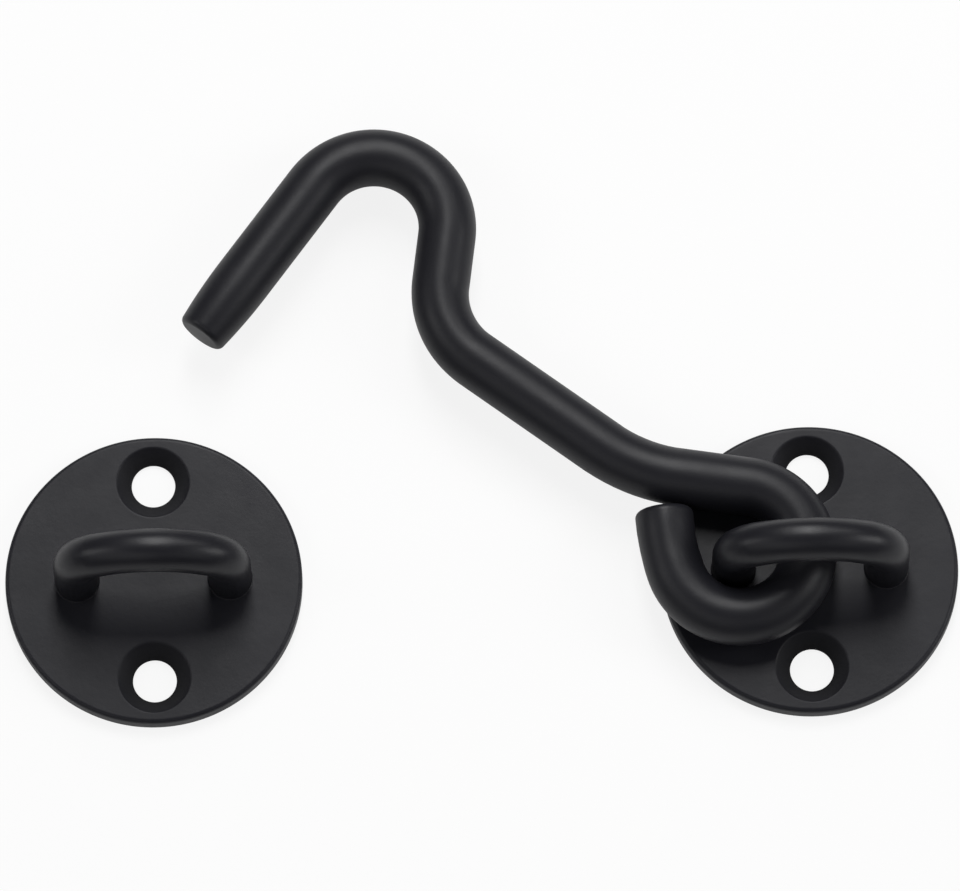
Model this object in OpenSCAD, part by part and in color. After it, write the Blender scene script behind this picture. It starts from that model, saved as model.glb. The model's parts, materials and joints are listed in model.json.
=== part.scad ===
// Hook and eye latch: two round plates, a riveted staple on each, and a bent hook linked to one of them.
// Millimetres. The plates lie flat with their backs at Z = 0 and their fronts towards +Z.
// The origin is the centre of the hinge plate's back, and the catch half stands towards -X.

/* [Plates] */
// Diameter of each round plate
plate_d = 40.8; // [40:0.1:50]
// Thickness of each plate
plate_t = 2.5; // [2.3:0.1:4]
// Rounding of the front edge
plate_edge_r = 0.6; // [0.3:0.1:1]
// Distance between the two screw holes of a plate
screw_spacing = 27.8; // [25:0.1:28]
// Diameter of the screw holes
screw_hole_d = 6; // [4:0.5:6.5]
// Depth of the countersinks, which open at 45 degrees a side
countersink_depth = 2; // [1.2:0.1:2.1]

/* [Staples] */
// Diameter of the staple rod
staple_rod_d = 6; // [5:0.1:6.5]
// Distance between the centre lines of a staple's legs
leg_spacing = 21; // [20:0.5:23]
// Height of the bar's centre line above the plate's front
staple_rise = 14.6; // [14:0.1:18]
// Centre line radius of the bar's gentle crown
crown_r = 15; // [13:0.5:18]
// Centre line radius of the two corners
corner_r = 6; // [4.5:0.1:7]
// Diameter of the tenon that goes through the plate
tenon_d = 4.4; // [3.5:0.1:4.8]
// Depth of the peened rivet head in the plate's back
rivet_head_depth = 0.9; // [0.5:0.1:1.2]
// How far the peened head stays below the plate's back
rivet_recess = 0.1; // [0.05:0.05:0.3]
// Gap round the tenon and its head
tenon_clearance = 0.05; // [0.02:0.01:0.1]

/* [Hook] */
// Diameter of the hook rod
hook_rod_d = 8; // [6:0.1:8.2]
// Inside diameter of the loop round the staple's leg
loop_inner_d = 10.6; // [10.2:0.1:12.5]
// How far the rod turns round the loop
loop_turn = 245; // [240:1:252]
// Straight rod between the loop and its tail's bend
tail_straight = 1; // [0.8:0.1:2]
// Centre line radius of the tail's gentle bend
tail_bend_r = 26; // [18:1:30]
// Turn of the tail's gentle bend
tail_bend_turn = 11; // [6:0.5:14]
// Gap between the tail's cut end and the rod above it
tail_gap = 0.2; // [0.1:0.1:1]
// Straight rod between the loop and the back bend
back_straight = 9.6; // [8:0.1:14]
// Centre line radius of the bend between loop and shank
back_bend_r = 24; // [16:0.5:30]
// Turn of the bend between loop and shank
back_bend_turn = 27.9; // [20:0.1:36]
// Length of the straight shank
shank_len = 21.4; // [15:0.1:60]
// Centre line radius of the neck
neck_r = 11.8; // [9:0.1:16]
// Turn of the neck
neck_turn = 60.9; // [55:0.1:70]
// Straight rod between neck and crook
neck_straight = 6.9; // [3:0.1:9]
// Inside diameter of the crook
crook_inner_d = 12.4; // [11:0.1:13]
// Length from the end of the crook to the end of the tip
tip_len = 26.6; // [20:0.1:30]
// Length of the tip's taper
tip_taper_len = 10; // [5:0.5:14]
// Diameter of the tip's end
tip_end_d = 7; // [5:0.1:7.4]
// Rounding of the tip's end and of the tail's cut end
rod_edge_r = 0.9; // [0.3:0.1:1.5]

/* [Fit] */
// Gap between the hook and the plate below it
hook_lift = 0.3; // [0.3:0.1:1.5]
// How far the loop's centre hangs above the staple leg's centre
loop_hang = 1.4; // [0.5:0.05:1.6]
// How far the loop's centre lies to the right of the staple leg's centre
loop_shift = 0.9; // [-0.5:0.05:1]
// Turn of the raised hook about its loop
rest_turn = -9; // [-20:0.5:5]
// How far the catch's near leg stands beyond the latched crook's centre
catch_slack = 0.2; // [-1:0.1:0.8]

/* [Hidden] */
$fn = 96;
over = 1;
// A bend is a little thinner than its neighbours, as bent rod is.
// It laps into them, so that they join as one solid.
seam_step = 0.05;
seam_lap = 0.4;

coat_plate = "#3d3d40";
coat_staple = "#2c2c2f";
coat_hook = "#343437";

// A rod's run is a list of [length, radius, turn], with a turn of 0 for a straight.
// A pose is [x, y, heading].
function after_straight(p, s) = [p[0] + s[0] * cos(p[2]), p[1] + s[0] * sin(p[2]), p[2]];
function arc_centre(p, s) = [
  p[0] - sign(s[2]) * s[1] * sin(p[2]),
  p[1] + sign(s[2]) * s[1] * cos(p[2])
];
function after_arc(p, s) = let (c = arc_centre(p, s), h = p[2] + s[2]) [
  c[0] + sign(s[2]) * s[1] * sin(h),
  c[1] - sign(s[2]) * s[1] * cos(h),
  h
];
function after_piece(p, s) = s[2] == 0 ? after_straight(p, s) : after_arc(p, s);
function pose_at(start, run, i) = i == 0 ? start : after_piece(pose_at(start, run, i - 1), run[i - 1]);

// Staple: leg, corner, crown, corner and leg, in the plane of its own arch.
// The crown counts as a stretch of bar.
crown_turn = 2 * asin((leg_spacing / 2 - corner_r) / (crown_r - corner_r));
corner_turn = 90 - crown_turn / 2;
leg_h = staple_rise - crown_r + (crown_r - corner_r) * cos(crown_turn / 2);
staple_start = [-leg_spacing / 2, plate_t, 90];
staple_run = [
  [leg_h, 0, 0],
  [0, corner_r, -corner_turn],
  [0, crown_r, -crown_turn],
  [0, corner_r, -corner_turn],
  [leg_h, 0, 0]
];

// Hook: from the top of the loop along the shank to the end of the crook, where the tip starts.
loop_r = (loop_inner_d + hook_rod_d) / 2;
crook_r = (crook_inner_d + hook_rod_d) / 2;
crook_turn = 90 + neck_turn;
hook_start = [0, loop_r, 180];
hook_run = [
  [back_straight, 0, 0],
  [0, back_bend_r, -back_bend_turn],
  [shank_len, 0, 0],
  [0, neck_r, -neck_turn],
  [neck_straight, 0, 0],
  [0, crook_r, crook_turn]
];
tip_start = pose_at(hook_start, hook_run, len(hook_run));

// Loop: clockwise from its top, then a gently bent tail with a cut end just below the rod.
loop_bend = [0, loop_r, -loop_turn];
loop_start = [0, loop_r, 0];
loop_end = after_arc(loop_start, loop_bend);
tail_run = [
  [tail_straight, 0, 0],
  [0, tail_bend_r, -tail_bend_turn]
];
tail_end = pose_at(loop_end, tail_run, len(tail_run));
cut_lean = 270 - loop_turn - tail_bend_turn;
cut_rise = (hook_rod_d / 2 - rod_edge_r) * sin(cut_lean) + rod_edge_r * (1 - cos(cut_lean));
cut_y = loop_r - hook_rod_d / 2 - tail_gap - cut_rise;
tail_end_len = (cut_y - tail_end[1]) / cos(cut_lean);

// Where the hook hangs, and where the catch half stands so that the latched crook drops over its near leg.
pivot_x = -leg_spacing / 2;
hook_z = plate_t + hook_lift + hook_rod_d / 2;
crook_piece = 5;
crook_centre = arc_centre(pose_at(hook_start, hook_run, crook_piece), hook_run[crook_piece]);
crook_x = loop_shift + crook_centre[0] * cos(rest_turn) - crook_centre[1] * sin(rest_turn);
crook_y = loop_hang + crook_centre[0] * sin(rest_turn) + crook_centre[1] * cos(rest_turn);
crook_reach = norm([crook_x, crook_y]);
plate_spacing = crook_reach + catch_slack + leg_spacing;

module at_pose(p) {
  translate([p[0], p[1], 0])
    rotate([0, 0, p[2]])
      children();
}

// One straight or bent stretch of rod, from the origin along +X, that laps into its neighbours by an angle.
module rod_piece(s, rod_d, lap_turn) {
  if (s[2] == 0) {
    rotate([0, 90, 0])
      cylinder(d = rod_d, h = s[0]);
  } else {
    translate([0, sign(s[2]) * s[1], 0])
      rotate([0, 0, -sign(s[2]) * (90 + lap_turn)])
        rotate_extrude(angle = s[2] + sign(s[2]) * 2 * lap_turn)
          translate([s[1], 0])
            circle(d = rod_d);
  }
}

// A bend that laps into the stretches before and after it.
module rod_bend(s, rod_d) {
  rod_piece(s, rod_d - 2 * seam_step, seam_lap / s[1] * 180 / PI);
}

// The pieces of a run take turns: a stretch, a bend, a stretch and so on.
module rod_run(start, run, rod_d) {
  for (i = [0 : len(run) - 1])
    at_pose(pose_at(start, run, i))
      if (i % 2 == 0)
        rod_piece(run[i], rod_d, 0);
      else
        rod_bend(run[i], rod_d);
}

// A rod's last stretch along +X, with a taper to a smaller end and a rounded edge.
module rod_end(length, root_d, taper_len, end_d, edge_r) {
  root_r = root_d / 2;
  edge_x = end_d / 2 - edge_r;
  edge_y = length - edge_r;
  taper_y = length - taper_len;
  rotate([0, 90, 0])
    rotate_extrude() {
      polygon([[0, 0], [root_r, 0], [root_r, taper_y], [end_d / 2, edge_y], [edge_x, length], [0, length]]);
      intersection() {
        translate([edge_x, edge_y])
          circle(r = edge_r);
        translate([edge_x, edge_y])
          square(edge_r + over);
      }
    }
}

// The hole for a countersunk screw, open at both faces.
module screw_hole() {
  hole_r = screw_hole_d / 2;
  sink_r = hole_r + countersink_depth + over;
  land_z = plate_t - countersink_depth;
  top_z = plate_t + over;
  rotate_extrude()
    polygon([[0, -over], [hole_r, -over], [hole_r, land_z], [sink_r, top_z], [0, top_z]]);
}

// The rivet's shape below a staple's leg: a tenon with a conical head, grown by a gap all round.
module rivet(bottom, top, gap) {
  tenon_r = tenon_d / 2 + gap;
  head_r = tenon_r + rivet_head_depth - bottom;
  rotate_extrude()
    polygon([[0, bottom], [head_r, bottom], [tenon_r, rivet_head_depth], [tenon_r, top], [0, top]]);
}

module plate() {
  difference() {
    rotate_extrude() {
      square([plate_d / 2 - plate_edge_r, plate_t]);
      square([plate_d / 2, plate_t - plate_edge_r]);
      translate([plate_d / 2 - plate_edge_r, plate_t - plate_edge_r])
        circle(r = plate_edge_r);
    }
    for (side = [-1, 1]) {
      translate([0, side * screw_spacing / 2, 0])
        screw_hole();
      translate([side * leg_spacing / 2, 0, 0])
        rivet(-over, plate_t + over, tenon_clearance);
    }
  }
}

module staple() {
  rotate([90, 0, 0])
    rod_run(staple_start, staple_run, staple_rod_d);
  for (side = [-1, 1])
    translate([side * leg_spacing / 2, 0, 0])
      rivet(rivet_recess, plate_t + leg_h / 2, 0);
}

module hinge_plate() {
  color(coat_plate)
    plate();
}

module hinge_staple() {
  color(coat_staple)
    staple();
}

module hook() {
  color(coat_hook)
    translate([pivot_x + loop_shift, loop_hang, hook_z])
      rotate([0, 0, rest_turn]) {
        rod_run(hook_start, hook_run, hook_rod_d);
        at_pose(tip_start)
          rod_end(tip_len, hook_rod_d, tip_taper_len, tip_end_d, rod_edge_r);
        at_pose(loop_start)
          rod_bend(loop_bend, hook_rod_d);
        rod_run(loop_end, tail_run, hook_rod_d);
        at_pose(tail_end)
          rod_end(tail_end_len, hook_rod_d, rod_edge_r + seam_lap, hook_rod_d, rod_edge_r);
      }
}

module catch_plate() {
  color(coat_plate)
    translate([-plate_spacing, 0, 0])
      plate();
}

module catch_staple() {
  color(coat_staple)
    translate([-plate_spacing, 0, 0])
      staple();
}

hinge_plate();
hinge_staple();
hook();
catch_plate();
catch_staple();
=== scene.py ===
"""Hook and eye latch in black powder-coated steel, dressed over its CAD frame on a pale studio floor."""
import json
import math

import bmesh
import bpy
from mathutils import Matrix, Quaternion, Vector


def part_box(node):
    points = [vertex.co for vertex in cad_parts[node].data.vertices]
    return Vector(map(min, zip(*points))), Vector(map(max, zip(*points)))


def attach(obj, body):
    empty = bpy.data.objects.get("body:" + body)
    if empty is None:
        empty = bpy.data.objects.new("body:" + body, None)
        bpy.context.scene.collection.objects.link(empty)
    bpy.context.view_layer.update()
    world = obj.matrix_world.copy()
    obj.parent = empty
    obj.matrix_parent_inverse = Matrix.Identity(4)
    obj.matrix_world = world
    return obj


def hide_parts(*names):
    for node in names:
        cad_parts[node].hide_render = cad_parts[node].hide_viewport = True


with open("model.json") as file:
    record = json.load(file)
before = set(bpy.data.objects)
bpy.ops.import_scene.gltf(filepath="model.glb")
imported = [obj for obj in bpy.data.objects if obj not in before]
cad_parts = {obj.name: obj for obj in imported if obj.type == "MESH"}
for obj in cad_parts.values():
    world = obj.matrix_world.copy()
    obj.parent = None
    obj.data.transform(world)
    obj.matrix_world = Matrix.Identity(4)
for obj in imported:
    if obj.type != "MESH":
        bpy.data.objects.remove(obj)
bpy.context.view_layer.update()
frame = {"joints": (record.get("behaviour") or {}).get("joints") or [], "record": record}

bl_info = {
    "name": "Hook and eye latch",
    "version": (1, 0, 0),
    "blender": (4, 5, 0),
    "location": "View3D > Sidebar > Latch",
    "description": "Builds the plates, staples and hook of a powder-coated hook and eye latch",
    "category": "Add Mesh",
}

MM = 0.001
SIDES = ("hinge", "catch")


def mount(name):
    """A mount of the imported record, by name."""
    return next(m for m in frame["record"]["mounts"] if m["name"] == name)


def box_size(node):
    """A CAD node's size at rest."""
    low, high = (Vector(corner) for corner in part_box(node))
    return high - low


PLATE_SIZE = box_size("hinge_plate")
STAPLE_SIZE = box_size("hinge_staple")
STAPLE_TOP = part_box("hinge_staple")[1][2]
STAPLE_LEG_SPACING = STAPLE_SIZE.x - STAPLE_SIZE.y
HOOK_LOW, HOOK_HIGH = (Vector(corner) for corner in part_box("hook"))
HOOK_MIDDLE_Z = (HOOK_LOW.z + HOOK_HIGH.z) / 2
SCREWS = mount("hinge_plate_screws")["dims"]
PLATE_CENTRES = {side: Vector(mount(f"{side}_plate_back")["pos_m"]) for side in SIDES}
HOOK_PIVOT = Vector(next(j for j in frame["joints"] if j["name"] == "hook_swing")["pos_m"])


def to_linear(hex_colour):
    """An sRGB hex value as linear red, green and blue."""
    srgb = (int(hex_colour[i:i + 2], 16) / 255 for i in (1, 3, 5))
    return tuple(c / 12.92 if c <= 0.04045 else ((c + 0.055) / 1.055) ** 2.4 for c in srgb)


def length(name, description, default_mm):
    """A length property, given in millimetres."""
    return bpy.props.FloatProperty(
        name=name, description=description, default=default_mm * MM, min=0.0, precision=5,
        subtype="DISTANCE", unit="LENGTH")


def turn(name, description, default_deg):
    """An angle property, given in degrees."""
    return bpy.props.FloatProperty(
        name=name, description=description, default=math.radians(default_deg),
        subtype="ANGLE", unit="ROTATION")


def colour(name, description, hex_colour):
    """A colour property, given as an sRGB hex value."""
    return bpy.props.FloatVectorProperty(
        name=name, description=description, default=to_linear(hex_colour), min=0.0, max=1.0, size=3,
        subtype="COLOR")


def fraction(name, description, default):
    """A property between 0 and 1."""
    return bpy.props.FloatProperty(
        name=name, description=description, default=default, min=0.0, max=1.0, subtype="FACTOR")


class LatchPlateSizes(bpy.types.PropertyGroup):
    """Sizes of the two round plates"""
    diameter: length("Diameter", "Across a round plate", PLATE_SIZE.x / MM)
    thickness: length("Thickness", "Thickness of a plate", PLATE_SIZE.z / MM)
    edge_round: length("Front edge", "Rounding of the front edge", 0.6)
    back_round: length("Back edge", "Rounding of the back edge", 0.15)
    screw_spacing: length("Screw spacing", "Between the centres of the screw holes", SCREWS["spacing_y_mm"])
    screw_radius: length("Screw hole radius", "Radius of a screw hole", SCREWS["hole_r_mm"])
    sink_depth: length("Countersink depth", "Depth of the 45 degree countersink", 2.0)
    lip_round: length("Countersink lip", "Rounding where the countersink meets the front", 0.4)


class LatchStapleSizes(bpy.types.PropertyGroup):
    """Sizes of the two riveted staples"""
    rod: length("Rod", "Diameter of the staple rod", STAPLE_SIZE.y / MM)
    leg_spacing: length("Leg spacing", "Between the centres of the legs", STAPLE_LEG_SPACING / MM)
    crown_radius: length("Crown", "Centre line radius of the bar's gentle crown", 15.0)
    corner_radius: length("Corners", "Centre line radius of the two corners", 6.0)
    tenon: length("Tenon", "Diameter of the tenon through the plate", 4.4)
    head_depth: length("Rivet head", "Depth of the peened head in the plate's back", 0.9)
    head_recess: length("Head recess", "How far the peened head stays below the back", 0.1)
    tenon_gap: length("Tenon gap", "Gap round the tenon and its head", 0.05)
    foot_fillet: length("Foot fillet", "Fillet of coating where a leg meets the plate", 0.15)
    bend_thinning: length("Bend thinning", "How much the rod's radius shrinks in the middle of a bend", 0.05)


class LatchHookSizes(bpy.types.PropertyGroup):
    """Sizes of the bent hook"""
    rod: length("Rod", "Diameter of the hook rod", (HOOK_HIGH.z - HOOK_LOW.z) / MM)
    loop_inside: length("Loop", "Inside diameter of the loop", 10.6)
    loop_turn: turn("Loop turn", "How far the rod turns round the loop", 245.0)
    tail_straight: length("Tail straight", "Straight rod between the loop and its tail's bend", 1.0)
    tail_radius: length("Tail bend", "Centre line radius of the tail's gentle bend", 26.0)
    tail_turn: turn("Tail turn", "Turn of the tail's gentle bend", 11.0)
    tail_gap: length("Tail gap", "Gap between the tail's cut end and the rod above it", 0.2)
    loop_hang: length("Loop hang", "How far the loop's centre lies above the staple leg's centre", 1.4)
    loop_shift: length("Loop shift", "How far the loop's centre lies right of the staple leg's centre", 0.9)
    rest_turn: turn("Rest turn", "Turn of the raised hook about its loop", -9.0)
    back_straight: length("Back straight", "Straight rod between loop and back bend", 9.6)
    back_radius: length("Back bend", "Centre line radius of the bend between loop and shank", 24.0)
    back_turn: turn("Back turn", "Turn of the bend between loop and shank", 27.9)
    shank: length("Shank", "Length of the straight shank", 21.4)
    neck_radius: length("Neck", "Centre line radius of the neck", 11.8)
    neck_turn: turn("Neck turn", "Turn of the neck", 60.9)
    neck_straight: length("Neck straight", "Straight rod between neck and crook", 6.9)
    crook_inside: length("Crook", "Inside diameter of the crook", 12.4)
    tip: length("Tip", "From the end of the crook to the end of the tip", 26.6)
    tip_taper: length("Tip taper", "Length of the tip's taper", 10.0)
    tip_end: length("Tip end", "Diameter of the tip's end", 7.0)
    edge_round: length("End edges", "Rounding of the rod's two ends", 0.9)
    bend_thinning: length("Bend thinning", "How much the rod's radius shrinks in the middle of a bend", 0.05)


class LatchCoatLooks(bpy.types.PropertyGroup):
    """Looks of the powder coating"""
    plate_colour: colour("Plates", "Coating of the plates", "#1a1a20")
    staple_colour: colour("Staples", "Coating of the staples", "#1d1d22")
    hook_colour: colour("Hook", "Coating of the hook", "#1d1d22")
    plate_roughness: fraction("Plate roughness", "How dull the plates' coating is", 0.44)
    staple_roughness: fraction("Staple roughness", "How dull the staples' coating is", 0.37)
    hook_roughness: fraction("Hook roughness", "How dull the hook's coating is", 0.43)
    recess_roughness: fraction("Recess roughness", "How dull the dry coating in a countersink is", 0.85)
    peel: length("Orange peel", "Width of one bump of the coating's orange peel", 0.9)
    # Real grains are about 0.05 mm wide, too fine to show, so they are drawn coarser.
    grain: length("Grain", "Width of one grain of the baked powder", 0.3)


class LatchStageLooks(bpy.types.PropertyGroup):
    """Floor, light and camera"""
    floor_colour: colour("Floor", "Colour of the pale floor", "#f4f4f4")
    elevation: turn("Elevation", "How high the camera stands over the plates", 73.5)
    distance: length("Distance", "From the camera to the middle of the view", 1400.0)
    roll: turn("Roll", "Turn of the camera about its line of sight", -0.96)
    view_width: length("View width", "Width of the view at the plates", 132.5)
    ambient: fraction("Ambient", "Strength of the light from all round", 0.05)


def add_node(tree, kind, settings=None, **links):
    """A node with its settings. Each link or value goes to the input of that name, underscores for spaces."""
    node = tree.nodes.new(kind)
    for key, value in (settings or {}).items():
        setattr(node, key, value)
    for key, value in links.items():
        socket = next(s for s in node.inputs if s.name.replace(" ", "_") == key and s.enabled)
        if isinstance(value, bpy.types.NodeSocket):
            tree.links.new(value, socket)
        else:
            socket.default_value = value
    return node


# The attribute that marks a countersink, where the coating gets painted shade and a duller finish.
RECESS = "recess"
# Widths of the slow changes of shade and of gloss, and how far the roughness strays.
SHADE_WIDTH, GLOSS_WIDTH, GLOSS_DRIFT = 11.0 * MM, 4.0 * MM, 0.03
# How dark the coating is where it lies thin, and how dark the painted shade in a countersink is, as shares of
# its full colour.
THIN_SHARE, RECESS_SHADE_SHARE = 0.8, 0.4
# Most of a noise texture lies between these values.
NOISE_LOW, NOISE_HIGH = 0.3, 0.7
# Heights of the grain and of the orange peel, and how strongly each bends the light.
GRAIN_HEIGHT, PEEL_HEIGHT = 0.02 * MM, 0.03 * MM
GRAIN_STRENGTH, PEEL_STRENGTH = 0.4, 0.35
# Matt powder mirrors about half as much as a glossy plastic.
COAT_SPECULAR = 0.27


def powder_coat(name, base, roughness, looks):
    """Steel sprayed with black polyester powder and baked: a dull skin that scatters light in wide soft
    streaks, with a faint orange peel, a finer grain, and slow changes of shade and gloss where the powder lay
    thicker. In a countersink it is darker, as painted shade, and duller."""
    material = bpy.data.materials.new(name)
    material.use_nodes = True
    tree = material.node_tree
    shader = tree.nodes["Principled BSDF"]
    place = add_node(tree, "ShaderNodeTexCoord").outputs["Object"]
    noise = {}
    for pattern, width, detail in (
            ("shade", SHADE_WIDTH, 2.0),
            ("gloss", GLOSS_WIDTH, 3.0),
            ("peel", looks.peel, 1.0),
            ("grain", looks.grain, 2.0)):
        texture = add_node(tree, "ShaderNodeTexNoise", Vector=place, Scale=1 / width, Detail=detail)
        noise[pattern] = texture.outputs["Fac"]
    recess = add_node(tree, "ShaderNodeAttribute", {"attribute_name": RECESS}).outputs["Fac"]

    thin, shaded = ([channel * part for channel in base] for part in (THIN_SHARE, RECESS_SHADE_SHARE))
    shade = add_node(tree, "ShaderNodeMixRGB", Fac=noise["shade"], Color1=(*thin, 1), Color2=(*base, 1))
    # Painted shade: the coating's colour is darkened in a countersink.
    tone = add_node(tree, "ShaderNodeMixRGB", Fac=recess, Color1=shade.outputs["Color"], Color2=(*shaded, 1))
    tree.links.new(tone.outputs["Color"], shader.inputs["Base Color"])

    rough = add_node(tree, "ShaderNodeMapRange", Value=noise["gloss"],
                     From_Min=NOISE_LOW, From_Max=NOISE_HIGH,
                     To_Min=roughness - GLOSS_DRIFT, To_Max=roughness + GLOSS_DRIFT)
    dull = add_node(tree, "ShaderNodeMix", Factor=recess, A=rough.outputs["Result"], B=looks.recess_roughness)
    tree.links.new(dull.outputs["Result"], shader.inputs["Roughness"])
    shader.inputs["Specular IOR Level"].default_value = COAT_SPECULAR

    fine = add_node(tree, "ShaderNodeBump", Height=noise["grain"],
                    Strength=GRAIN_STRENGTH, Distance=GRAIN_HEIGHT)
    waves = add_node(tree, "ShaderNodeBump", Height=noise["peel"],
                     Strength=PEEL_STRENGTH, Distance=PEEL_HEIGHT, Normal=fine.outputs["Normal"])
    tree.links.new(waves.outputs["Normal"], shader.inputs["Normal"])
    return material


# How much of the floor's white is its own glow, by the ray that sees it. A reflection also shows its shadows.
FLOOR_GLOW = {"Is Camera Ray": 0.85, "Is Glossy Ray": 0.3, "Is Transmission Ray": 0.3}


def floor_paper(base):
    """White studio paper, rolled flat: no gloss, and an even background that keeps soft shadows."""
    material = bpy.data.materials.new("matt white studio paper")
    material.use_nodes = True
    tree = material.node_tree
    shader = tree.nodes["Principled BSDF"]
    shader.inputs["Base Color"].default_value = (*base, 1)
    shader.inputs["Roughness"].default_value = 1.0
    shader.inputs["Specular IOR Level"].default_value = 0.0
    rays = add_node(tree, "ShaderNodeLightPath").outputs
    shares = []
    for ray, share in FLOOR_GLOW.items():
        part = add_node(tree, "ShaderNodeMath", {"operation": "MULTIPLY"})
        tree.links.new(rays[ray], part.inputs[0])
        part.inputs[1].default_value = share
        shares.append(part.outputs[0])
    while len(shares) > 1:
        most = add_node(tree, "ShaderNodeMath", {"operation": "MAXIMUM"})
        tree.links.new(shares.pop(), most.inputs[0])
        tree.links.new(shares.pop(), most.inputs[1])
        shares.append(most.outputs[0])
    glow = add_node(tree, "ShaderNodeEmission", Color=(1, 1, 1, 1), Strength=1.0)
    mix = add_node(tree, "ShaderNodeMixShader", Fac=shares[0])
    tree.links.new(shader.outputs["BSDF"], mix.inputs[1])
    tree.links.new(glow.outputs["Emission"], mix.inputs[2])
    tree.links.new(mix.outputs["Shader"], tree.nodes["Material Output"].inputs["Surface"])
    return material


def sweep_tree():
    """Geometry nodes that sweep a round rod along a curve whose points carry the rod's radius."""
    tree = bpy.data.node_groups.new("rod_sweep", "GeometryNodeTree")
    sockets = tree.interface
    sockets.new_socket("Geometry", in_out="INPUT", socket_type="NodeSocketGeometry")
    sockets.new_socket("Rod Sides", in_out="INPUT", socket_type="NodeSocketInt")
    sockets.new_socket("Coat", in_out="INPUT", socket_type="NodeSocketMaterial")
    sockets.new_socket("Geometry", in_out="OUTPUT", socket_type="NodeSocketGeometry")
    given = add_node(tree, "NodeGroupInput").outputs
    ring = add_node(tree, "GeometryNodeCurvePrimitiveCircle", {"mode": "RADIUS"},
                    Resolution=given["Rod Sides"], Radius=1.0)
    width = add_node(tree, "GeometryNodeInputRadius")
    rod = add_node(tree, "GeometryNodeCurveToMesh", Curve=given["Geometry"],
                   Profile_Curve=ring.outputs["Curve"], Scale=width.outputs["Radius"], Fill_Caps=True)
    smooth = add_node(tree, "GeometryNodeSetShadeSmooth", Geometry=rod.outputs["Mesh"])
    real = add_node(tree, "GeometryNodeRealizeInstances", Geometry=smooth.outputs["Geometry"])
    coat = add_node(tree, "GeometryNodeSetMaterial",
                    Geometry=real.outputs["Geometry"], Material=given["Coat"])
    end = add_node(tree, "NodeGroupOutput")
    tree.links.new(coat.outputs["Geometry"], end.inputs["Geometry"])
    return tree


# Points closer than this are merged, and edges that turn more than this stay crisp.
MERGE_DISTANCE = 0.0005 * MM
SHARP_TURN = math.radians(40)


def finish_mesh(mesh, name):
    """A finished object at the origin, with outward normals and crisp edges."""
    bm = bmesh.new()
    bm.from_mesh(mesh)
    bmesh.ops.remove_doubles(bm, verts=bm.verts, dist=MERGE_DISTANCE)
    bmesh.ops.recalc_face_normals(bm, faces=bm.faces)
    for face in bm.faces:
        face.smooth = True
    bm.to_mesh(mesh)
    bm.free()
    mesh.set_sharp_from_angle(angle=SHARP_TURN)
    piece = bpy.data.objects.new(name, mesh)
    bpy.context.scene.collection.objects.link(piece)
    return piece


def swept_rod(name, route, coat, sides):
    """A rod along a route of points, each with its radius, as a plain mesh object."""
    curve = bpy.data.curves.new(name, "CURVE")
    curve.dimensions = "3D"
    spline = curve.splines.new("POLY")
    spline.points.add(len(route) - 1)
    for spot, (point, radius) in zip(spline.points, route):
        spot.co = (*point, 1.0)
        spot.radius = radius
    path = bpy.data.objects.new(name + "_path", curve)
    bpy.context.scene.collection.objects.link(path)
    tree = bpy.data.node_groups.get("rod_sweep") or sweep_tree()
    sweep = path.modifiers.new("Sweep", "NODES")
    sweep.node_group = tree
    inputs = {s.name: s.identifier for s in tree.interface.items_tree if s.in_out == "INPUT"}
    sweep[inputs["Rod Sides"]] = sides
    sweep[inputs["Coat"]] = coat
    bpy.context.view_layer.update()
    mesh = bpy.data.meshes.new_from_object(path.evaluated_get(bpy.context.evaluated_depsgraph_get()))
    path.modifiers.remove(sweep)
    bpy.data.objects.remove(path)
    bpy.data.curves.remove(curve)
    if not mesh.polygons:
        raise RuntimeError(f"{name} came out of the sweep empty")
    mesh.name = name
    return finish_mesh(mesh, name)


# Steps of a rod's route in a bend and in a straight.
BEND_STEP, STRIDE = math.radians(3), 1.5 * MM
# Facets of a rounded edge, of a countersink's lip and of a foot's fillet.
EDGE_FACETS, LIP_FACETS, FILLET_FACETS = 8, 6, 6


def along(heading):
    """A step of 1 in the flat, in the direction of a heading."""
    return Vector((math.cos(heading), math.sin(heading)))


def arc(angle, facets):
    """The angles from 0 to an angle, in equal steps."""
    return [angle * i / facets for i in range(facets + 1)]


def rod_run(start, heading, run, rod, thinning):
    """Points with their rod radius along a flat run of straights (length,) and bends (radius, angle), which
    go to the left if positive and are a little thinner in the middle, as bent rod is. Also gives the last
    heading."""
    route = [(Vector(start), rod)]
    for stretch in run:
        point = route[-1][0]
        if len(stretch) == 1:
            count = max(1, round(stretch[0] / STRIDE))
            step = along(heading) * stretch[0]
            route += [(point + step * i / count, rod) for i in range(1, count + 1)]
        else:
            radius, angle = stretch
            side = math.copysign(1, angle)
            centre = point + side * radius * Vector((-math.sin(heading), math.cos(heading)))
            count = max(2, round(abs(angle) / BEND_STEP))
            for share in (i / count for i in range(1, count + 1)):
                now = heading + angle * share
                spot = centre + side * radius * Vector((math.sin(now), -math.cos(now)))
                # The thinning is nothing at the bend's two ends and nearly even between them.
                route.append((spot, rod - thinning * (1 - (2 * share - 1) ** 4)))
            heading += angle
    return route, heading


def rounded_end(end, heading, end_radius, edge):
    """Rings of the rounded edge of a rod that ends at a point with a heading, from the end inwards."""
    rings = []
    for a in arc(math.pi / 2, EDGE_FACETS):
        inset = edge * (1 - math.cos(a))
        rings.append((end - along(heading) * inset, end_radius - edge + edge * math.sin(a)))
    return rings


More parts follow.
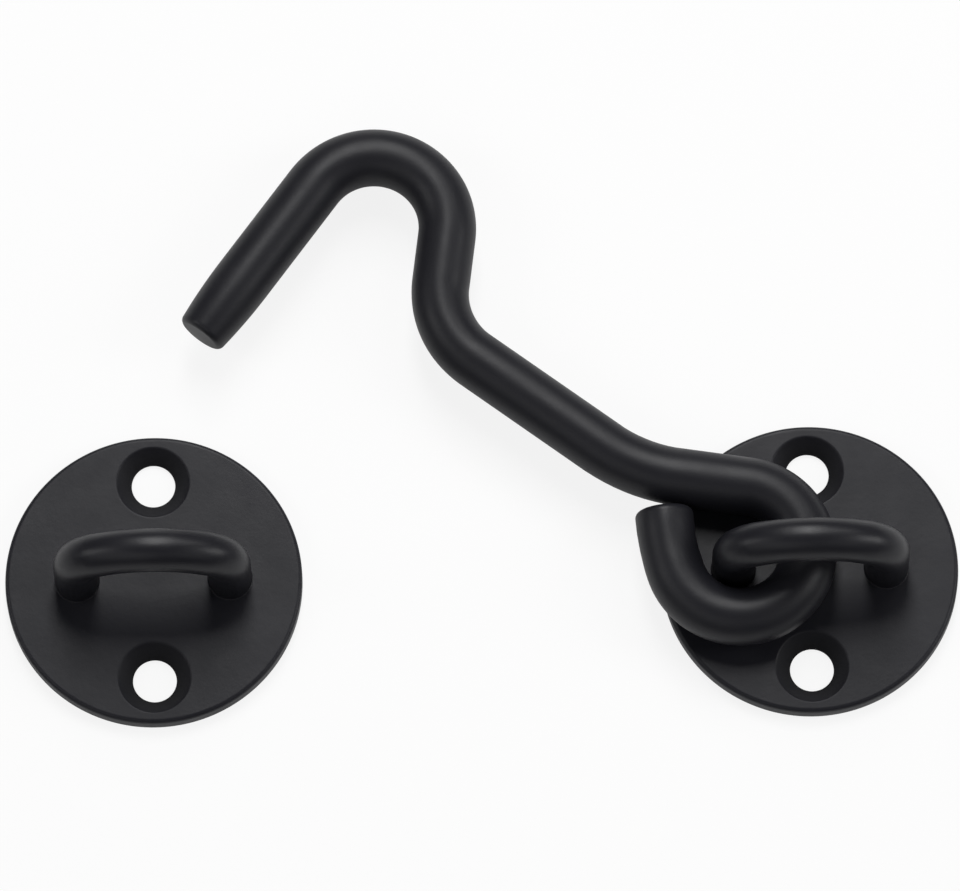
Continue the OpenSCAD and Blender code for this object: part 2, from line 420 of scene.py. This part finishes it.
class LATCH_OT_add_plates(bpy.types.Operator):
    """Add the two round plates, with countersunk screw holes and rivet holes"""
    bl_idname = "latch.add_plates"
    bl_label = "Add the plates"

    RIM_SIDES, SCREW_SIDES, RIVET_SIDES = 192, 96, 64
    # Width of the flat ring beside a rounded edge, which keeps the shading of the faces flat.
    SUPPORT = 0.1 * MM

    def edge_rings(self, size):
        """The plate's outer wall, from the front face round to the back, as radius and height."""
        radius, high = size.diameter / 2, size.thickness
        front, back = size.edge_round, size.back_round
        rings = [(radius - front - self.SUPPORT, high)]
        for a in arc(math.pi / 2, EDGE_FACETS):
            rings.append((radius - front + front * math.sin(a), high - front + front * math.cos(a)))
        for a in arc(math.pi / 2, EDGE_FACETS // 2):
            rings.append((radius - back + back * math.cos(a), back - back * math.sin(a)))
        rings.append((radius - back - self.SUPPORT, 0))
        return rings

    def screw_rings(self, size):
        """A countersunk hole, from its soft lip on the front down to the back."""
        high, hole, lip, back = size.thickness, size.screw_radius, size.lip_round, size.back_round
        mouth = hole + size.sink_depth
        # A rounding in the 45 degree corner starts this far from it.
        reach = lip * math.tan(math.pi / 8)
        centre = Vector((mouth + reach, high - lip))
        rings = [(mouth + reach + self.SUPPORT, high)]
        for a in arc(math.pi / 4, LIP_FACETS):
            rings.append((centre.x - lip * math.sin(a), centre.y + lip * math.cos(a)))
        rings.append((hole + back / 2, high - size.sink_depth + back / 2))
        rings.append((hole, high - size.sink_depth - back / 2))
        rings += [(hole, back), (hole + back, 0), (hole + back + self.SUPPORT, 0)]
        return rings

    def rivet_rings(self, size, staple):
        """A staple tenon's hole with the countersink for its peened head."""
        tenon = staple.tenon / 2 + staple.tenon_gap
        head = tenon + staple.head_depth
        return [(tenon, size.thickness), (tenon, staple.head_depth), (head, 0)]

    def lathe(self, bm, centre, rings, sides, recess=None):
        """Rings of vertices round an upright axis, joined by faces. Gives the edges of the first and last
        ring. A recess is marked from its first ring down to the depth given."""
        mark = bm.verts.layers.float.get(RECESS) or bm.verts.layers.float.new(RECESS)
        loops = []
        for radius, high in rings:
            angles = (2 * math.pi * i / sides for i in range(sides))
            spots = (Vector((radius * math.cos(a), radius * math.sin(a), high)) for a in angles)
            loops.append([bm.verts.new(centre + spot) for spot in spots])
            # The mark gives a countersink painted shade and a duller coat.
            if recess:
                for vert in loops[-1]:
                    vert[mark] = min(1, (rings[0][1] - high) / recess)
        for upper, lower in zip(loops, loops[1:]):
            for i in range(sides):
                j = (i + 1) % sides
                bm.faces.new((upper[i], upper[j], lower[j], lower[i]))
        ends = []
        for loop in (loops[0], loops[-1]):
            ends.append([bm.edges.get((loop[i], loop[(i + 1) % sides])) for i in range(sides)])
        return ends

    def execute(self, context):
        size, staple = context.scene.latch_plates, context.scene.latch_staples
        looks = context.scene.latch_coat
        coat = powder_coat(
            "black powder coat on stamped steel plate", looks.plate_colour, looks.plate_roughness, looks)
        screw = self.screw_rings(size), self.SCREW_SIDES, size.lip_round
        rivet = self.rivet_rings(size, staple), self.RIVET_SIDES
        for side in SIDES:
            bm = bmesh.new()
            centre = PLATE_CENTRES[side]
            front, back = self.lathe(bm, centre, self.edge_rings(size), self.RIM_SIDES)
            for way in (-1, 1):
                up = Vector((0, way * size.screw_spacing / 2, 0))
                across = Vector((way * staple.leg_spacing / 2, 0, 0))
                for offset, hole in ((up, screw), (across, rivet)):
                    upper, lower = self.lathe(bm, centre + offset, *hole)
                    front += upper
                    back += lower
            for edges, facing in ((front, 1), (back, -1)):
                bmesh.ops.triangle_fill(bm, use_beauty=True, edges=edges, normal=(0, 0, facing))
            mesh = bpy.data.meshes.new(f"{side}_plate_disc")
            bm.to_mesh(mesh)
            bm.free()
            mesh.materials.append(coat)
            piece = finish_mesh(mesh, f"{side}_plate_disc")
            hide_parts(f"{side}_plate")
            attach(piece, f"{side}_side")
        return {"FINISHED"}


class LATCH_OT_add_staples(bpy.types.Operator):
    """Add the two staples, with their tenons and peened heads in the plates"""
    bl_idname = "latch.add_staples"
    bl_label = "Add the staples"

    ROD_SIDES = 64
    # Height over which a leg steps down to its tenon, so that the sweep has no two rings in one place.
    SHOULDER = 0.002 * MM

    def foot_rings(self, size, plate):
        """Height and radius of a foot's rings, from the peened head to the top of the coating's fillet."""
        rod, tenon, fillet, top = size.rod / 2, size.tenon / 2, size.foot_fillet, plate.thickness
        head = tenon + size.head_depth - size.head_recess
        rings = [(size.head_recess, head), (size.head_depth, tenon), (top - self.SHOULDER, tenon)]
        for a in arc(math.pi / 2, FILLET_FACETS):
            rings.append((top + fillet * (1 - math.cos(a)), rod + fillet * (1 - math.sin(a))))
        return rings

    def execute(self, context):
        size, plate = context.scene.latch_staples, context.scene.latch_plates
        looks = context.scene.latch_coat
        coat = powder_coat(
            "black powder coat on bent staple rod", looks.staple_colour, looks.staple_roughness, looks)
        half, rod = size.leg_spacing / 2, size.rod / 2
        crown, corner = size.crown_radius, size.corner_radius
        # Half the angle of the crown, at which it runs smoothly into a corner.
        crown_half = math.asin((half - corner) / (crown - corner))
        bar_z = STAPLE_TOP - rod
        leg_top = bar_z - crown + (crown - corner) * math.cos(crown_half)
        foot = self.foot_rings(size, plate)
        leg_start = foot[-1][0]
        leg, bend = (leg_top - leg_start,), (corner, crown_half - math.pi / 2)
        run = [leg, bend, (crown, -2 * crown_half), bend, leg]
        arch, _ = rod_run((-half, leg_start), math.pi / 2, run, rod, size.bend_thinning)
        left = [(Vector((-half, z)), radius) for z, radius in foot[:-1]]
        right = [(Vector((half, z)), radius) for z, radius in reversed(foot[:-1])]
        flat = left + arch + right
        for side in SIDES:
            centre = PLATE_CENTRES[side]
            route = [(centre + Vector((point.x, 0, point.y)), radius) for point, radius in flat]
            piece = swept_rod(f"{side}_staple_rod", route, coat, self.ROD_SIDES)
            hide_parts(f"{side}_staple")
            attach(piece, f"{side}_side")
        return {"FINISHED"}


class LATCH_OT_add_hook(bpy.types.Operator):
    """Add the hook, one rod from its tapered tip to the cut end of its loop"""
    bl_idname = "latch.add_hook"
    bl_label = "Add the hook"

    ROD_SIDES = 80
    TAPER_STEPS = 8

    def execute(self, context):
        size = context.scene.latch_hook
        rod = size.rod / 2
        loop, crook = size.loop_inside / 2 + rod, size.crook_inside / 2 + rod
        top = (0, loop)
        shank, tip_heading = rod_run(top, math.pi, [
            (size.back_straight,),
            (size.back_radius, -size.back_turn),
            (size.shank,),
            (size.neck_radius, -size.neck_turn),
            (size.neck_straight,),
            (crook, math.pi / 2 + size.neck_turn),
            (size.tip - size.tip_taper,)], rod, size.bend_thinning)
        tail, tail_heading = rod_run(top, 0.0, [
            (loop, -size.loop_turn),
            (size.tail_straight,),
            (size.tail_radius, -size.tail_turn)], rod, size.bend_thinning)
        # The tail leans, so it is cut where the high corner of its end stops short of the rod above it.
        lean = 1.5 * math.pi - size.loop_turn - size.tail_turn
        cut_rise = (rod - size.edge_round) * math.sin(lean) + size.edge_round * (1 - math.cos(lean))
        cut_y = loop - rod - size.tail_gap - cut_rise
        tail_length = (cut_y - tail[-1][0].y) / math.cos(lean)

        taper_start, tail_start = shank[-1][0], tail[-1][0]
        tip_end = taper_start + along(tip_heading) * size.tip_taper
        tail_end = tail_start + along(tail_heading) * tail_length
        flat = rounded_end(tip_end, tip_heading, size.tip_end / 2, size.edge_round)
        # The taper starts gently, so that the rod shows no ring where it begins.
        taper = along(tip_heading) * (size.tip_taper - size.edge_round)
        for share in (1 - i / self.TAPER_STEPS for i in range(1, self.TAPER_STEPS)):
            flat.append((taper_start + taper * share, rod - (rod - size.tip_end / 2) * share ** 2))
        flat += reversed(shank)
        flat += tail[1:]
        flat += reversed(rounded_end(tail_end, tail_heading, rod, size.edge_round))

        centre = Vector((HOOK_PIVOT.x + size.loop_shift, HOOK_PIVOT.y + size.loop_hang, HOOK_MIDDLE_Z))
        hang = Matrix.Translation(centre) @ Matrix.Rotation(size.rest_turn, 4, "Z")
        route = [(hang @ point.to_3d(), radius) for point, radius in flat]
        looks = context.scene.latch_coat
        coat = powder_coat(
            "black powder coat on bent hook rod", looks.hook_colour, looks.hook_roughness, looks)
        piece = swept_rod("hook_rod", route, coat, self.ROD_SIDES)
        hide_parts("hook")
        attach(piece, "hook")
        return {"FINISHED"}


class LATCH_OT_set_stage(bpy.types.Operator):
    """Set the floor, the lights and the camera"""
    bl_idname = "latch.set_stage"
    bl_label = "Set the stage"

    # Half the floor's width, and how far it lies under the plates, so that no two faces share a place.
    FLOOR_HALF = 4.0
    FLOOR_DROP = 0.05 * MM
    # The photograph's middle, as a place on the plates' back plane.
    VIEW_MIDDLE = Vector((-44.97, 19.13, 0)) * MM
    # The sensor's width is in millimetres, and the farthest distance that the camera sees is in metres.
    SENSOR_WIDTH = 36.0
    FARTHEST = 20.0

    LAMP_DISTANCE = 0.9
    # Each soft box has an azimuth from +X, an elevation, a width, a height and a level.
    # A level of 1 lights a white card that faces the lamp to plain white.
    LAMPS = (
        ("tall_soft_box_behind", 90, 55, 0.24, 0.6, 0.64),
        ("soft_box_behind_right", 50, 48, 0.3, 0.3, 0.1),
        ("fill_on_the_right", 0, 32, 0.3, 0.4, 0.26),
        ("fill_on_the_left", 180, 38, 0.3, 0.4, 0.15),
        ("fill_front_left", 235, 45, 0.8, 0.5, 0.13),
        ("fill_front_right", 325, 45, 0.8, 0.5, 0.09),
    )

    def add_lamp(self, name, azimuth, elevation, width, height, level):
        """A soft box that faces the middle of the view."""
        light = bpy.data.lights.new(name, "AREA")
        light.shape, light.size, light.size_y = "RECTANGLE", width, height
        light.energy = level * (math.pi * self.LAMP_DISTANCE) ** 2
        lamp = bpy.data.objects.new(name, light)
        raised = math.radians(elevation)
        flat = along(math.radians(azimuth)) * math.cos(raised)
        away = Vector((*flat, math.sin(raised)))
        lamp.location = self.VIEW_MIDDLE + away * self.LAMP_DISTANCE
        lamp.rotation_euler = (-away).to_track_quat("-Z", "Y").to_euler()
        bpy.context.scene.collection.objects.link(lamp)

    def add_floor(self, base):
        """A wide sheet of paper just under the plates."""
        half = self.FLOOR_HALF
        mesh = bpy.data.meshes.new("studio_floor")
        corners = [(-half, -half), (half, -half), (half, half), (-half, half)]
        mesh.from_pydata([(x, y, -self.FLOOR_DROP) for x, y in corners], [], [(0, 1, 2, 3)])
        mesh.materials.append(floor_paper(base))
        floor = bpy.data.objects.new("studio_floor", mesh)
        bpy.context.scene.collection.objects.link(floor)

    def add_camera(self, looks):
        """A camera at the photograph's viewing angle."""
        camera = bpy.data.cameras.new("camera")
        camera.sensor_width = self.SENSOR_WIDTH
        camera.lens = self.SENSOR_WIDTH * looks.distance / looks.view_width
        camera.clip_end = self.FARTHEST
        eye = bpy.data.objects.new("camera", camera)
        away = Vector((0, -math.cos(looks.elevation), math.sin(looks.elevation)))
        eye.location = self.VIEW_MIDDLE + away * looks.distance
        aim = (-away).to_track_quat("-Z", "Y") @ Quaternion((0, 0, 1), looks.roll)
        eye.rotation_euler = aim.to_euler()
        bpy.context.scene.collection.objects.link(eye)
        return eye

    def execute(self, context):
        looks = context.scene.latch_stage
        self.add_floor(looks.floor_colour)
        for lamp in self.LAMPS:
            self.add_lamp(*lamp)
        world = context.scene.world or bpy.data.worlds.new("studio")
        context.scene.world = world
        world.use_nodes = True
        backdrop = world.node_tree.nodes["Background"]
        backdrop.inputs["Color"].default_value = (1, 1, 1, 1)
        backdrop.inputs["Strength"].default_value = looks.ambient
        context.scene.camera = self.add_camera(looks)
        context.scene.view_settings.view_transform = "Standard"
        return {"FINISHED"}


class LATCH_PT_sidebar(bpy.types.Panel):
    """The latch's pieces and sizes"""
    bl_idname = "LATCH_PT_sidebar"
    bl_label = "Hook and eye latch"
    bl_space_type = "VIEW_3D"
    bl_region_type = "UI"
    bl_category = "Latch"

    def draw(self, context):
        for operator, group in STEPS:
            self.layout.operator(operator.bl_idname)
            for key in GROUPS[group].__annotations__:
                self.layout.prop(getattr(context.scene, group), key)
        for key in LatchCoatLooks.__annotations__:
            self.layout.prop(context.scene.latch_coat, key)


GROUPS = {
    "latch_plates": LatchPlateSizes,
    "latch_staples": LatchStapleSizes,
    "latch_hook": LatchHookSizes,
    "latch_coat": LatchCoatLooks,
    "latch_stage": LatchStageLooks,
}
STEPS = (
    (LATCH_OT_add_plates, "latch_plates"),
    (LATCH_OT_add_staples, "latch_staples"),
    (LATCH_OT_add_hook, "latch_hook"),
    (LATCH_OT_set_stage, "latch_stage"),
)
CLASSES = (*GROUPS.values(), *(operator for operator, _ in STEPS), LATCH_PT_sidebar)


def register():
    for cls in CLASSES:
        bpy.utils.register_class(cls)
    for group, cls in GROUPS.items():
        setattr(bpy.types.Scene, group, bpy.props.PointerProperty(type=cls))


def unregister():
    for group in GROUPS:
        delattr(bpy.types.Scene, group)
    for cls in reversed(CLASSES):
        bpy.utils.unregister_class(cls)


def main():
    """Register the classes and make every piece."""
    register()
    bpy.ops.latch.add_plates()
    bpy.ops.latch.add_staples()
    bpy.ops.latch.add_hook()
    bpy.ops.latch.set_stage()


if __name__ == "__main__":
    main()
